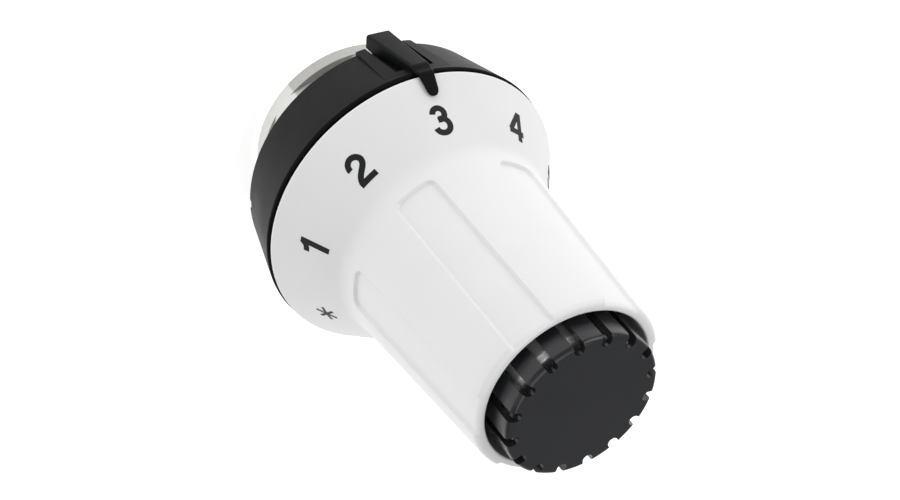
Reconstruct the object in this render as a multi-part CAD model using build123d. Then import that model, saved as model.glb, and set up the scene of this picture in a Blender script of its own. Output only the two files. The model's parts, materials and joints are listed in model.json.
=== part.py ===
from build123d import *
import math
import os

os.makedirs("parts", exist_ok=True)

# Thermostatic radiator valve head (sensor head), millimetres.
# The axis is +Z, from the valve towards the end cap. The origin is the centre of the union nut's
# rear face. The pointer faces -Y. At rest the dial stands at "3" and the room is at the set warmth.

# ---------------------------------------------------------------- driving dimensions

# Fits and gaps
running_fit = 0.05          # radial clearance of a shaft that turns or slides in its hole
seat_fit = 0.03             # radial clearance of pieces fixed into each other
end_gap = 0.10              # axial gap between faces that turn on each other
free_gap = 0.40             # gap between pieces that pass without touching

# Union nut
thread_d = 30.0             # M30 x 1.5 connection thread
thread_pitch = 1.5
thread_length = 8.6         # threaded wall, from the rear face
thread_relief = 0.9         # undercut between the thread and the seat
relief_depth = 0.5
nut_wall = 1.0              # metal left outside the thread at the middle of a flat
nut_corner_rise = 1.2       # turned corners above the flats
nut_collar_t = 2.8          # round collar behind the flats
nut_edge = 0.4
nut_lip_t = 1.7             # inward lip that pulls on the bush
nut_lip_depth = 1.24
nut_turn = -67.0            # direction of one flat, degrees

# Seat bush, fixed in the base
bush_flange_t = 1.5
bush_flange_gap = 0.3       # between the bush flange and the nut's thread
bush_wall = 3.3
bush_rise = 3.8             # bush standing above the base web

# Base ring
web_t = 2.0
ring_height = 13.1
ring_wall = 1.8
ring_skirt = 1.9            # ring wall standing behind the web
ring_lip = 0.2              # ring front edge outside the dial rim
hub_t = 1.1                 # wall round the setting sleeve's flange
hub_lip = 1.3               # hub wall above the snap ring
rear_rib_count = 12
rear_rib_t = 0.9

# Limit pins and stops
pin_r = 0.7
pin_head_r = 1.0
pin_head_t = 1.0
pin_rise = 2.0
pin_angles = (60, 120)
stop_t = 1.6                # radial thickness of the stop track
stop_rise = 4.4
base_stop_half = 60.0       # half angle of the fixed stop
dial_stop_half = 19.5       # half angle of the dial's stop rib
dial_travel_low = -120.0    # dial angle at the frost mark
dial_travel_high = 80.0     # dial angle at "5"

# Guide sleeve
guide_bore_r = 9.0          # socket for the valve insert and the spring cup
guide_wall = 1.4
guide_flange_t = 1.8
guide_flange_rim = 2.0
collar_wall = 1.1
collar_rise = 9.0           # bearing collar above the guide flange
key_count = 3
key_w = 3.0
key_h = 1.3

# Setting sleeve and its screw
screw_lead = 7.2            # sensor travel per turn of the dial
screw_starts = 4
screw_h = 0.6               # thread height
screw_gap = 0.15            # clearance of the two screw profiles
screw_length = 16.0
sleeve_wall = 1.9
sleeve_bearing_wall = 1.3   # least wall round the bearing collar
sleeve_flange_t = 1.9
sleeve_flange_rim = 2.55
spline_count = 6
spline_w = 1.6
spline_depth = 0.8
snap_ring_t = 1.0
snap_ring_gap_angle = 30.0

# Sensor carrier
carrier_wall = 2.3          # from its bore to the root of the screw
carrier_floor_t = 1.2
cup_wall = 0.95
cup_rise = 1.8

# Sensor capsule and bellows
capsule_d = 22.4
capsule_wall = 0.4
capsule_headroom = 0.2      # under the end cap with the dial at "5"
capsule_rim_w = 1.0
capsule_rim_t = 1.0
capsule_base_t = 0.8
capsule_round = 1.3
dimple_r = 4.4
dimple_depth = 2.5
plug_r = 1.2
plug_head_r = 2.6
plug_head_t = 0.9
bellows_r = 8.2
bellows_root_r = 6.1
bellows_wall = 0.3
bellows_headroom = 6.0      # between the bellows' end plate and the dimple
bellows_folds = 9
end_plate_t = 1.0
lock_ring_t = 1.05
lock_ring_wall = 0.8
lock_ring_skirt = 1.5

# Push rod, overtravel spring and thrust button
rod_r = 2.0
rod_guide_wall = 1.45
rod_guide_flange_r = 5.5
rod_guide_flange_t = 1.7
button_face_z = 22.5        # face that meets the valve pin
button_r = 4.5
button_pad = 4.9
button_flange_t = 1.6
button_stem_r = 3.6
button_stem = 3.8
cup_bore_r = 6.6
spring_cup_wall = 1.0
spring_cup_top_t = 1.2
spring_cup_mouth = 1.4      # cup wall below the button's flange
spring_space = 9.8
boss_wall = 1.2
plunger_room = 1.7          # above the boss, more than the plunger rises
retainer_t = 1.2
spring_wire_r = 0.55
spring_coils = 4.5

# Dial handle
rim_overhang = 4.4          # dial rim outside the stop track
rim_gap = 0.6               # shadow gap between ring and dial
rim_edge = 0.5
skirt_height = 11.9
waist_round = 6.0
handle_length = 48.3
handle_wall = 1.9
barrel_taper = 0.0758       # radius lost per millimetre of barrel, or more where the sleeve needs room
mouth_lip = 1.78
mouth_gap = 1.07            # gap round the end cap
mouth_depth = 8.3           # straight bore behind the mouth
mouth_round = 0.9
spigot_t = 1.0
spigot_drop = 1.8
panel_count = 6
panel_w = 7.2
panel_depth = 0.6
panel_start = 2.6           # above the waist
panel_corner = 1.6
ledge_t = 1.4

# End cap
cap_gap = 0.6               # round the capsule
cap_wall = 1.2
cap_stand = 4.3             # face above the mouth
cap_face_t = 1.0
cap_round = 0.9
cap_flange_t = 1.7
cap_slots = 16
cap_slot_w = 1.7
cap_slot_reach = 2.0        # slots from the outside towards the middle of the face
cap_slot_floor = 1.5        # solid band above the flange

# Index pointer
pointer_rear_w = 4.3
pointer_front_w = 3.2
pointer_tip_w = 2.0
pointer_overhang = 2.2      # behind the ring
pointer_rear_h = 1.5        # above the ring at its rear edge
pointer_front_h = 1.25
pointer_block_end = 2.4     # foot of the block ends this far behind the ring front
pointer_step = 1.1          # top of the block ends this far behind the ring front
pointer_reach = 3.75        # nose beyond the dial rim
pointer_lift = 0.4          # nose above the dial
nose_root_t = 0.55
nose_t = 0.6
pocket_w = 6.8
pocket_depth = 0.9
land_rear_w = 10.0
land_front_w = 11.8
land_end = 1.3              # land runs out this far behind the ring front
land_h = 0.5                # above the ring's rear edge, falling to nothing
leg_w = 2.4
leg_z = 3.0
hook_w = 4.0
notch_angle = 3.0           # small slot in the ring's rear edge
notch_w = 2.0
notch_h = 1.3

# ---------------------------------------------------------------- radii that follow

minor_r = thread_d / 2 - 0.5413 * thread_pitch
flat_r = thread_d / 2 + nut_wall
corner_r = flat_r + nut_corner_rise
lip_r = minor_r - nut_lip_depth
bush_r = lip_r - running_fit
bush_flange_r = minor_r - bush_flange_gap
collar_r = bush_r + collar_wall
sleeve_bearing_r = collar_r + running_fit
sleeve_flange_r = sleeve_bearing_r + sleeve_flange_rim
hub_r = sleeve_flange_r + free_gap
hub_outer_r = hub_r + hub_t
pin_circle_r = hub_outer_r + pin_head_r
stop_r = pin_circle_r + pin_head_r
stop_outer_r = stop_r + stop_t
rim_r = stop_outer_r + rim_overhang
ring_rear_r = stop_outer_r + ring_wall
ring_front_r = rim_r + ring_lip
guide_r = guide_bore_r + guide_wall
carrier_bore_r = guide_r + running_fit
screw_root_r = carrier_bore_r + carrier_wall
screw_crest_r = screw_root_r + screw_h
sleeve_r = max(screw_crest_r + screw_gap + sleeve_wall, sleeve_bearing_r + sleeve_bearing_wall)
capsule_r = capsule_d / 2
capsule_rim_r = capsule_r + capsule_rim_w
cup_r = capsule_rim_r + seat_fit
carrier_cup_r = cup_r + cup_wall
ledge_r = max(carrier_cup_r, screw_crest_r) + 2 * free_gap
cap_inner_r = capsule_r + cap_gap
cap_r = cap_inner_r + cap_wall
mouth_r = cap_r + mouth_gap
mouth_outer_r = mouth_r + mouth_lip
spring_cup_r = cup_bore_r + spring_cup_wall
spring_mean_r = cup_bore_r - spring_wire_r - free_gap

# ---------------------------------------------------------------- heights that follow

seat_z = thread_length + thread_relief
bush_flange_top = seat_z + bush_flange_t
lip_z = bush_flange_top + end_gap
nut_top = lip_z + nut_lip_t
web_z = nut_top + free_gap
web_top = web_z + web_t
ring_rear_z = web_z - ring_skirt
ring_front_z = ring_rear_z + ring_height
rim_z = ring_front_z + rim_gap
waist_z = rim_z + skirt_height
mouth_z = rim_z + handle_length
cap_face_z = mouth_z + cap_stand
bush_top = web_top + bush_rise
guide_flange_top = web_top + guide_flange_t
collar_top = guide_flange_top + collar_rise
sleeve_z = guide_flange_top + end_gap
snap_ring_z = sleeve_z + sleeve_flange_t + end_gap
hub_top = snap_ring_z + snap_ring_t + hub_lip
screw_z = collar_top + free_gap
sleeve_top = screw_z + screw_length
travel_down = -dial_travel_low / 360 * screw_lead
travel_up = dial_travel_high / 360 * screw_lead
carrier_z = collar_top + free_gap + travel_down
guide_top = sleeve_top
carrier_floor_z = guide_top + free_gap + travel_down
base_plate_z = carrier_floor_z + carrier_floor_t
capsule_z = base_plate_z + capsule_base_t
capsule_top = cap_face_z - cap_face_t - travel_up - capsule_headroom
cup_top = base_plate_z + cup_rise
bellows_top = capsule_top - dimple_depth - capsule_wall - bellows_headroom - end_plate_t
bellows_length = bellows_top - capsule_z
button_flange_z = button_face_z + button_pad
spring_z = button_flange_z + button_flange_t
spring_top = spring_z + spring_space
spring_cup_top = spring_top + spring_cup_top_t
boss_top = base_plate_z - rod_guide_flange_t - plunger_room
cap_seat_z = mouth_z - mouth_depth
room_r = sleeve_r + free_gap + handle_wall
taper = max(barrel_taper, (room_r - mouth_outer_r) / (mouth_z - sleeve_top))
waist_r = mouth_outer_r + taper * (mouth_z - waist_z)


# ---------------------------------------------------------------- helpers

def turned(*points, arc=360.0, start=0.0):
    """Solid of revolution about Z from (radius, height) points."""
    outline = Plane.XZ * Polyline(*points, close=True)
    return Rot(0, 0, start) * revolve(make_face(outline), Axis.Z, arc)


def tube(inner, outer, low, high, arc=360.0, start=0.0):
    return turned((inner, low), (outer, low), (outer, high), (inner, high), arc=arc, start=start)


def rod(radius, low, high):
    return tube(0, radius, low, high)


def bar(radial_in, radial_out, width, low, high):
    """Box along +X from one radius to another."""
    box = Box(radial_out - radial_in, width, high - low, align=(Align.MIN, Align.CENTER, Align.MIN))
    return Pos(radial_in, 0, low) * box


def around(piece, angle):
    return Rot(0, 0, angle) * piece


def round_edges(solid, radius, height, size):
    """Rounds the full circles of this radius at this height."""
    chosen = []
    for edge in solid.edges().filter_by(GeomType.CIRCLE):
        near = abs(edge.radius - radius) < 0.01 and abs(edge.center().Z - height) < 0.01
        if near:
            chosen.append(edge)
    return fillet(chosen, size)


def ring_r(z):
    """Outside radius of the base ring."""
    share = (z - ring_rear_z) / ring_height
    return ring_rear_r + (ring_front_r - ring_rear_r) * share


def skirt_r(z):
    """Outside radius of the dial's flared skirt."""
    share = (z - rim_z - rim_edge) / (waist_z - rim_z - rim_edge)
    return rim_r + (waist_r - rim_r) * share


def barrel_r(z):
    """Outside radius of the dial's barrel."""
    return mouth_outer_r + taper * (mouth_z - z)


def skirt_inner_z(radius):
    """Height of the skirt's inner face at a radius."""
    rim_inner = rim_r - handle_wall
    waist_inner = waist_r - handle_wall
    share = (rim_inner - radius) / (rim_inner - waist_inner)
    return rim_z + (waist_z - handle_wall / 2 - rim_z) * share


def screw_profile(root, crest):
    """Cross-section of the multi-start screw: crest and root arcs joined by straight flanks."""
    pitch = 360.0 / screw_starts
    flank = 0.10 * pitch
    land = 0.40 * pitch
    edges = []
    for start in range(screw_starts):
        a = start * pitch - land / 2
        b = a + land
        c = b + flank
        d = c + land
        e = d + flank
        edges.append(CenterArc((0, 0), crest, a, land))
        edges.append(Line(polar(crest, b), polar(root, c)))
        edges.append(CenterArc((0, 0), root, c, land))
        edges.append(Line(polar(root, d), polar(crest, e)))
    return make_face(edges)


def polar(radius, angle):
    return (radius * math.cos(math.radians(angle)), radius * math.sin(math.radians(angle)))


def screw(root, crest, low, high):
    """Left-hand screw whose threads keep one phase along the whole axis."""
    turn = -360.0 / screw_lead
    face = Pos(0, 0, low) * Rot(0, 0, turn * low) * screw_profile(root, crest)
    return Part() + Solid.extrude_linear_with_rotation(
        face.face(), (0, 0, low), (0, 0, high - low), turn * (high - low)
    )


# ---------------------------------------------------------------- union nut and base

def make_union_nut():
    hexagon = RegularPolygon(flat_r, 6, major_radius=False, rotation=nut_turn)
    nut = turned(
        (0, 0), (corner_r - nut_edge, 0), (corner_r, nut_edge), (corner_r, nut_top - nut_corner_rise),
        (flat_r, nut_top), (0, nut_top),
    )
    outside = rod(2 * corner_r, nut_collar_t, nut_top + 1)
    nut -= outside - Pos(0, 0, nut_collar_t) * extrude(hexagon, nut_top)
    nut -= rod(minor_r, -1, lip_z)
    nut -= rod(minor_r + relief_depth, thread_length, lip_z)
    nut -= rod(lip_r, lip_z - 1, nut_top + 1)
    return nut


def make_seat_bush():
    return turned(
        (bush_r - bush_wall, seat_z), (bush_flange_r, seat_z), (bush_flange_r, bush_flange_top),
        (bush_r, bush_flange_top), (bush_r, bush_top), (bush_r - bush_wall, bush_top),
    )


def ring_shell():
    """Flared outer wall of the base ring."""
    shell = turned(
        (ring_rear_r - ring_wall, ring_rear_z), (ring_rear_r, ring_rear_z),
        (ring_front_r, ring_front_z), (ring_front_r - ring_wall, ring_front_z),
    )
    shell = round_edges(shell, ring_rear_r, ring_rear_z, 0.5)
    return round_edges(shell, ring_front_r, ring_front_z, 0.4)


def pointer_seat():
    """Land on the ring beside the pointer, raised at the rear and running out at the front."""
    land_z = ring_front_z - land_end
    outer = turned(
        (ring_rear_r - ring_wall / 2, ring_rear_z), (ring_rear_r + land_h, ring_rear_z),
        (ring_r(land_z) + 0.02, land_z), (ring_r(land_z) - ring_wall / 2, land_z),
    )
    rear = land_rear_w / 2
    front = land_front_w / 2
    plan = make_face(
        Polyline((-rear, ring_rear_z), (rear, ring_rear_z), (front, land_z), (-front, land_z), close=True)
    )
    return around(outer & extrude(Plane.YZ * plan, 2 * rim_r), -90)


def pocket_cutters():
    land_z = ring_front_z - pointer_block_end
    floor = turned(
        (ring_rear_r - pocket_depth, ring_rear_z - 1), (2 * rim_r, ring_rear_z - 1), (2 * rim_r, land_z),
        (ring_r(land_z) - pocket_depth, land_z), (ring_rear_r - pocket_depth, ring_rear_z),
    )
    pocket = floor & bar(0, 2 * rim_r, pocket_w, ring_rear_z - 1, land_z)
    leg_low = web_top + free_gap
    leg_hole = bar(rim_r / 2, 2 * rim_r, leg_w + 2 * seat_fit, leg_low, leg_low + leg_z)
    return [around(pocket, -90), around(leg_hole, -90)]


def make_base_ring():
    base = ring_shell()
    base += tube(bush_r + seat_fit, ring_r(web_z) - ring_wall / 2, web_z, web_top)
    hub = tube(hub_r, hub_outer_r, web_top, hub_top)
    hub -= tube(0, hub_r + hub_t / 2, snap_ring_z, snap_ring_z + snap_ring_t)
    base += hub
    base += tube(
        stop_r, stop_outer_r, web_top, web_top + stop_rise, arc=2 * base_stop_half, start=90 - base_stop_half
    )
    for k in range(rear_rib_count):
        rib = bar(corner_r + free_gap, ring_rear_r - ring_wall / 2, rear_rib_t, ring_rear_z + 0.4, web_z)
        base += around(rib, (k + 0.5) * 360 / rear_rib_count)
    base += pointer_seat()
    for cutter in pocket_cutters():
        base -= cutter
    for angle in pin_angles:
        base -= around(Pos(pin_circle_r, 0, 0) * rod(pin_r + seat_fit, web_z - 1, web_top + 1), angle)
    notch = bar(rim_r / 2, 2 * rim_r, notch_w, ring_rear_z - 1, ring_rear_z + notch_h)
    notch -= rod(ring_rear_r - ring_wall - free_gap, ring_rear_z - 2, ring_front_z)
    return base - around(notch, notch_angle)


def limit_pin(angle):
    pin = rod(pin_head_r, web_z - pin_head_t, web_z) + rod(pin_r, web_z, web_top + pin_rise)
    return around(Pos(pin_circle_r, 0, 0) * pin, angle)


def make_snap_ring():
    gap = snap_ring_gap_angle
    return tube(
        sleeve_r + free_gap, hub_r + hub_t / 2 - seat_fit, snap_ring_z, snap_ring_z + snap_ring_t,
        arc=360 - gap, start=gap / 2 - 90,
    )


def make_guide_sleeve():
    guide = turned(
        (bush_r + seat_fit, web_top), (collar_r + guide_flange_rim, web_top),
        (collar_r + guide_flange_rim, guide_flange_top), (collar_r, guide_flange_top), (collar_r, collar_top),
        (guide_r, collar_top), (guide_r, guide_top), (guide_bore_r, guide_top), (guide_bore_r, bush_top),
        (bush_r + seat_fit, bush_top),
    )
    for k in range(key_count):
        key = bar(guide_r - guide_wall / 2, guide_r + key_h, key_w, carrier_z + 1, guide_top)
        guide += around(key, k * 360 / key_count)
    return guide


# ---------------------------------------------------------------- index pointer

def pointer_side():
    """Side view of the pointer, as (radius, height) points: the block on the ring, then the nose."""
    block_z = ring_front_z - pointer_block_end
    rear_z = ring_rear_z - pointer_overhang
    nose_z = rim_z + pointer_reach
    step_z = ring_front_z - pointer_step
    return Polyline(
        (ring_rear_r - pocket_depth, rear_z),
        (ring_rear_r + pointer_rear_h, rear_z),
        (ring_r(step_z) + pointer_front_h, step_z),
        (rim_r + pointer_lift + nose_root_t, rim_z + rim_edge),
        (skirt_r(nose_z) + pointer_lift + nose_t, nose_z),
        (skirt_r(nose_z) + pointer_lift, nose_z),
        (rim_r + pointer_lift, rim_z + rim_edge),
        (ring_front_r, ring_front_z),
        (ring_r(block_z), block_z),
        (ring_r(block_z) - pocket_depth, block_z),
        (ring_rear_r - pocket_depth, ring_rear_z),
        close=True,
    )


def pointer_plan():
    """Plan view of the pointer: (across, along) points, wide at the rear and round at the tip."""
    rear_z = ring_rear_z - pointer_overhang
    block_z = ring_front_z - pointer_block_end
    nose_z = rim_z + pointer_reach
    rear = pointer_rear_w / 2
    front = pointer_front_w / 2
    tip = pointer_tip_w / 2
    outline = [
        Line((-rear, rear_z), (rear, rear_z)),
        Line((rear, rear_z), (front, block_z)),
        Line((front, block_z), (front * 0.95, ring_front_z)),
        Line((front * 0.95, ring_front_z), (tip, nose_z - tip)),
        ThreePointArc((tip, nose_z - tip), (0, nose_z), (-tip, nose_z - tip)),
        Line((-tip, nose_z - tip), (-front * 0.95, ring_front_z)),
        Line((-front * 0.95, ring_front_z), (-front, block_z)),
        Line((-front, block_z), (-rear, rear_z)),
    ]
    return make_face(outline)


def make_pointer():
    side = Plane.XZ * make_face(pointer_side())
    slab = extrude(side, pointer_rear_w, both=True)
    plan = extrude(Plane.YZ * pointer_plan(), 2 * rim_r)
    pointer = slab & plan
    leg_low = web_top + free_gap
    hook_r = stop_outer_r + free_gap
    pointer += bar(hook_r, ring_r(leg_low) - pocket_depth / 2, leg_w, leg_low, leg_low + leg_z)
    pointer += bar(hook_r, ring_r(leg_low) - ring_wall - running_fit, hook_w, leg_low, leg_low + leg_z)
    return around(pointer, -90)


# ---------------------------------------------------------------- dial: handle, sleeve, cap

def handle_outside():
    body = turned(
        (0, rim_z), (rim_r, rim_z), (rim_r, rim_z + rim_edge), (waist_r, waist_z),
        (mouth_outer_r, mouth_z), (0, mouth_z),
    )
    body = round_edges(body, waist_r, waist_z, waist_round)
    return round_edges(body, mouth_outer_r, mouth_z, mouth_round)


def handle_inside():
    cap_bore_r = barrel_r(cap_seat_z) - handle_wall
    inner_waist_z = waist_z - handle_wall / 2
    return turned(
        (0, rim_z - 1), (rim_r - handle_wall, rim_z - 1), (rim_r - handle_wall, rim_z),
        (waist_r - handle_wall, inner_waist_z), (cap_bore_r, cap_seat_z), (mouth_r, cap_seat_z),
        (mouth_r, mouth_z + 1), (0, mouth_z + 1),
    )


def panel_cutter():
    """Tool for one grip panel: a straight window with round lower corners, cut to a constant depth."""
    low = waist_z + panel_start
    high = mouth_z + 2
    half = panel_w / 2
    window = make_face(
        FilletPolyline((half, high), (half, low), (-half, low), (-half, high), radius=panel_corner)
        + Line((-half, high), (half, high))
    )
    block = extrude(Plane.YZ * window, 2 * rim_r)
    core = turned(
        (0, low - 1), (barrel_r(low - 1) - panel_depth, low - 1), (barrel_r(high + 1) - panel_depth, high + 1),
        (0, high + 1),
    )
    return block - core


def skirt_rib(inner, outer, low, arc=360.0, start=0.0):
    """Rib that stands down from the skirt's inner face."""
    sink = handle_wall / 2
    return turned(
        (inner, low), (outer, low), (outer, skirt_inner_z(outer) + sink), (inner, skirt_inner_z(inner) + sink),
        arc=arc, start=start,
    )


def make_dial_handle():
    handle = handle_outside()
    for k in range(panel_count):
        handle -= around(panel_cutter(), k * 360 / panel_count)
    handle -= handle_inside()
    spigot_r = ring_r(rim_z - spigot_drop) - ring_wall - free_gap
    handle += skirt_rib(spigot_r - spigot_t, spigot_r, rim_z - spigot_drop)
    middle = (dial_travel_low + dial_travel_high) / 2
    stop_start = -90 - middle - dial_stop_half
    handle += skirt_rib(stop_r, stop_outer_r, web_top + free_gap, arc=2 * dial_stop_half, start=stop_start)
    handle += tube(ledge_r, barrel_r(sleeve_top) - handle_wall / 2, sleeve_top, sleeve_top + ledge_t)
    for k in range(spline_count):
        rib_low = waist_z - 6
        rib = bar(sleeve_r - spline_depth + seat_fit, waist_r - handle_wall / 2, spline_w, rib_low, sleeve_top)
        handle += around(rib, k * 360 / spline_count)
    return handle


def make_setting_sleeve():
    sleeve = turned(
        (0, sleeve_z), (sleeve_flange_r, sleeve_z), (sleeve_flange_r, sleeve_z + sleeve_flange_t),
        (sleeve_r, sleeve_z + sleeve_flange_t), (sleeve_r, sleeve_top), (0, sleeve_top),
    )
    sleeve -= rod(sleeve_bearing_r, sleeve_z - 1, screw_z)
    sleeve -= screw(screw_root_r + screw_gap, screw_crest_r + screw_gap, screw_z - 1, sleeve_top + 1)
    for k in range(spline_count):
        groove = bar(sleeve_r - spline_depth, 2 * sleeve_r, spline_w + 2 * seat_fit, waist_z - 7, sleeve_top + 1)
        sleeve -= around(groove, k * 360 / spline_count)
    return sleeve


def cap_slot():
    inner = cap_r - cap_slot_reach + cap_slot_w / 2
    low = cap_seat_z + cap_slot_floor
    slot = bar(inner, 2 * cap_r, cap_slot_w, low, cap_face_z + 1)
    return slot + Pos(inner, 0, 0) * rod(cap_slot_w / 2, low, cap_face_z + 1)


def make_end_cap():
    flange_r = barrel_r(cap_seat_z) - handle_wall - running_fit
    flange_low = cap_seat_z - cap_flange_t
    cap = turned(
        (0, flange_low), (flange_r, flange_low), (flange_r, cap_seat_z), (cap_r, cap_seat_z),
        (cap_r, cap_face_z), (0, cap_face_z),
    )
    cap = round_edges(cap, cap_r, cap_face_z, cap_round)
    cap -= rod(cap_inner_r, flange_low - 1, cap_face_z - cap_face_t)
    for k in range(cap_slots):
        cap -= around(cap_slot(), (k + 0.5) * 360 / cap_slots)
    return cap


# ---------------------------------------------------------------- sensor: carrier, capsule, bellows

def make_sensor_carrier():
    carrier = screw(screw_root_r, screw_crest_r, carrier_z, carrier_floor_z)
    carrier += rod(carrier_cup_r, carrier_floor_z, cup_top)
    carrier -= rod(carrier_bore_r, carrier_z - 1, carrier_floor_z)
    carrier -= rod(cup_r, base_plate_z, cup_top + 1)
    carrier -= rod(rod_guide_flange_r + free_gap, carrier_floor_z - 1, cup_top)
    for k in range(key_count):
        groove_r = guide_r + key_h + free_gap / 2
        groove = bar(guide_r / 2, groove_r, key_w + 2 * running_fit, carrier_z - 1, carrier_floor_z)
        carrier -= around(groove, k * 360 / key_count)
    return carrier


def make_capsule_shell():
    shell = turned(
        (0, capsule_z), (capsule_rim_r, capsule_z), (capsule_rim_r, capsule_z + capsule_rim_t),
        (capsule_r, capsule_z + capsule_rim_t), (capsule_r, capsule_top), (0, capsule_top),
    )
    shell = round_edges(shell, capsule_r, capsule_top, capsule_round)
    inner = rod(capsule_r - capsule_wall, capsule_z - 1, capsule_top - capsule_wall)
    inner = round_edges(
        inner, capsule_r - capsule_wall, capsule_top - capsule_wall, capsule_round - capsule_wall
    )
    floor_z = capsule_top - dimple_depth
    shell -= inner
    shell += rod(dimple_r + capsule_wall, floor_z - capsule_wall, capsule_top - capsule_wall / 2)
    shell -= rod(dimple_r, floor_z, capsule_top + 1)
    return shell - rod(plug_r + seat_fit, floor_z - 1, floor_z + 1)


def make_capsule_base():
    plate = tube(rod_r + rod_guide_wall + seat_fit, capsule_rim_r, base_plate_z, capsule_z)
    return plate


def make_rod_guide():
    neck_r = rod_r + rod_guide_wall
    bottom = base_plate_z - rod_guide_flange_t
    bore = rod_r + running_fit
    return turned(
        (bore, bottom), (rod_guide_flange_r, bottom), (rod_guide_flange_r, base_plate_z), (neck_r, base_plate_z),
        (neck_r, capsule_z + 0.7), (bore, capsule_z + 0.7),
    )


def make_lock_ring():
    skirt_r_in = carrier_cup_r + seat_fit
    skirt_r_out = skirt_r_in + lock_ring_wall
    return turned(
        (capsule_r + free_gap / 2, cup_top), (skirt_r_in, cup_top), (skirt_r_in, cup_top - lock_ring_skirt),
        (skirt_r_out, cup_top - lock_ring_skirt), (skirt_r_out, cup_top + lock_ring_t),
        (capsule_r + free_gap / 2, cup_top + lock_ring_t),
    )


def make_fill_plug():
    floor_z = capsule_top - dimple_depth
    return rod(plug_r, floor_z - 1.5, floor_z) + rod(plug_head_r, floor_z, floor_z + plug_head_t)


def make_bellows():
    pitch = bellows_length / bellows_folds
    outer = []
    for fold in range(bellows_folds):
        low = capsule_z + fold * pitch
        outer.append((bellows_root_r, low))
        outer.append((bellows_r, low + pitch / 2))
    outer.append((bellows_root_r, bellows_top))
    inner = [(radius - bellows_wall, z) for radius, z in reversed(outer)]
    return turned(*outer, *inner)


def make_bellows_end_plate():
    return rod(bellows_r, bellows_top, bellows_top + end_plate_t)


# ---------------------------------------------------------------- plunger and thrust button

def make_push_rod():
    return rod(rod_r, spring_cup_top, bellows_top)


def make_spring_cup():
    low = button_flange_z - spring_cup_mouth
    cup = rod(spring_cup_r, low, spring_cup_top) - rod(cup_bore_r, low - 1, spring_top)
    boss_bore = rod_r + seat_fit
    return cup + tube(boss_bore, boss_bore + boss_wall, spring_cup_top, boss_top)


def make_spring_retainer():
    return tube(button_r + free_gap, cup_bore_r - seat_fit, button_flange_z - retainer_t, button_flange_z)


def make_thrust_button():
    return turned(
        (0, button_face_z), (button_r, button_face_z), (button_r, button_flange_z),
        (cup_bore_r - running_fit, button_flange_z), (cup_bore_r - running_fit, spring_z),
        (button_stem_r, spring_z), (button_stem_r, spring_z + button_stem), (0, spring_z + button_stem),
    )


def make_overtravel_spring():
    height = spring_space - 2 * spring_wire_r
    start = spring_z + spring_wire_r
    path = Helix(height / spring_coils, height, spring_mean_r, center=(0, 0, start))
    section = Plane(path @ 0, z_dir=path % 0) * Circle(spring_wire_r)
    return sweep(section, path, is_frenet=True)


# ---------------------------------------------------------------- the assembly

nodes = {
    "base_ring": make_base_ring(),
    "seat_bush": make_seat_bush(),
    "guide_sleeve": make_guide_sleeve(),
    "index_pointer": make_pointer(),
    "dial_snap_ring": make_snap_ring(),
    "limit_pin_low": limit_pin(pin_angles[0]),
    "limit_pin_high": limit_pin(pin_angles[1]),
    "union_nut": make_union_nut(),
    "dial_handle": make_dial_handle(),
    "setting_sleeve": make_setting_sleeve(),
    "end_cap": make_end_cap(),
    "sensor_carrier": make_sensor_carrier(),
    "capsule_shell": make_capsule_shell(),
    "capsule_base": make_capsule_base(),
    "capsule_lock_ring": make_lock_ring(),
    "fill_plug": make_fill_plug(),
    "bellows": make_bellows(),
    "rod_guide": make_rod_guide(),
    "bellows_end_plate": make_bellows_end_plate(),
    "push_rod": make_push_rod(),
    "spring_cup": make_spring_cup(),
    "spring_retainer": make_spring_retainer(),
    "overtravel_spring": make_overtravel_spring(),
    "thrust_button": make_thrust_button(),
}

for name, solid in nodes.items():
    export_step(solid, f"parts/{name}.step")
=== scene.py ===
# %% [markdown]
# # A thermostatic radiator valve head
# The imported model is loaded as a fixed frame. Hidden parts keep their modelled shape and get a finish.
# The pieces that a hand or an eye meets are made again here with soft edges, in the same places.

# %% Load the frame
import bmesh
import bpy
import json
import math
from mathutils import Matrix, Vector


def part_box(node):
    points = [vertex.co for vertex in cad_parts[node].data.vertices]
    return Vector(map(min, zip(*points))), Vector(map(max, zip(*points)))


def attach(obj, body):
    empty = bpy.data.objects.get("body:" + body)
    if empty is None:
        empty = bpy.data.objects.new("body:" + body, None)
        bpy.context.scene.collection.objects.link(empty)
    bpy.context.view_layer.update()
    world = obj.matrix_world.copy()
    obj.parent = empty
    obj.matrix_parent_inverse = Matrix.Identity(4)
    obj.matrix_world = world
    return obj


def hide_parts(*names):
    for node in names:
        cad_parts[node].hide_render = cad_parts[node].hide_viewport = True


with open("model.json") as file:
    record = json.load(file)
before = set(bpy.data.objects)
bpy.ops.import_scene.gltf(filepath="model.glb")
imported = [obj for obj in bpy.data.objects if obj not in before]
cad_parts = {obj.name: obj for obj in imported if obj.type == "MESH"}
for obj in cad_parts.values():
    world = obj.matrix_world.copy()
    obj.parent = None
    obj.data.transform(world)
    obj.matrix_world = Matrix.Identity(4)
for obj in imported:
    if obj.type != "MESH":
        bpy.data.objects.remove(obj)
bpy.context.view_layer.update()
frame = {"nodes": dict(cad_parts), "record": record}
mm = 0.001
nodes = frame["nodes"]

# %% [markdown]
# Sizes come from the frame's own boxes, so a piece made here lands where the modelled one is.
# Only wall thicknesses and small radii, which a box can't tell, are given as numbers.

# %% Sizes of the outer pieces
handle_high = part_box("dial_handle")[1]
ring_low, ring_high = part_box("base_ring")
cap_low, cap_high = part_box("end_cap")
nut_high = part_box("union_nut")[1]
shell_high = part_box("capsule_shell")[1]

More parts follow.
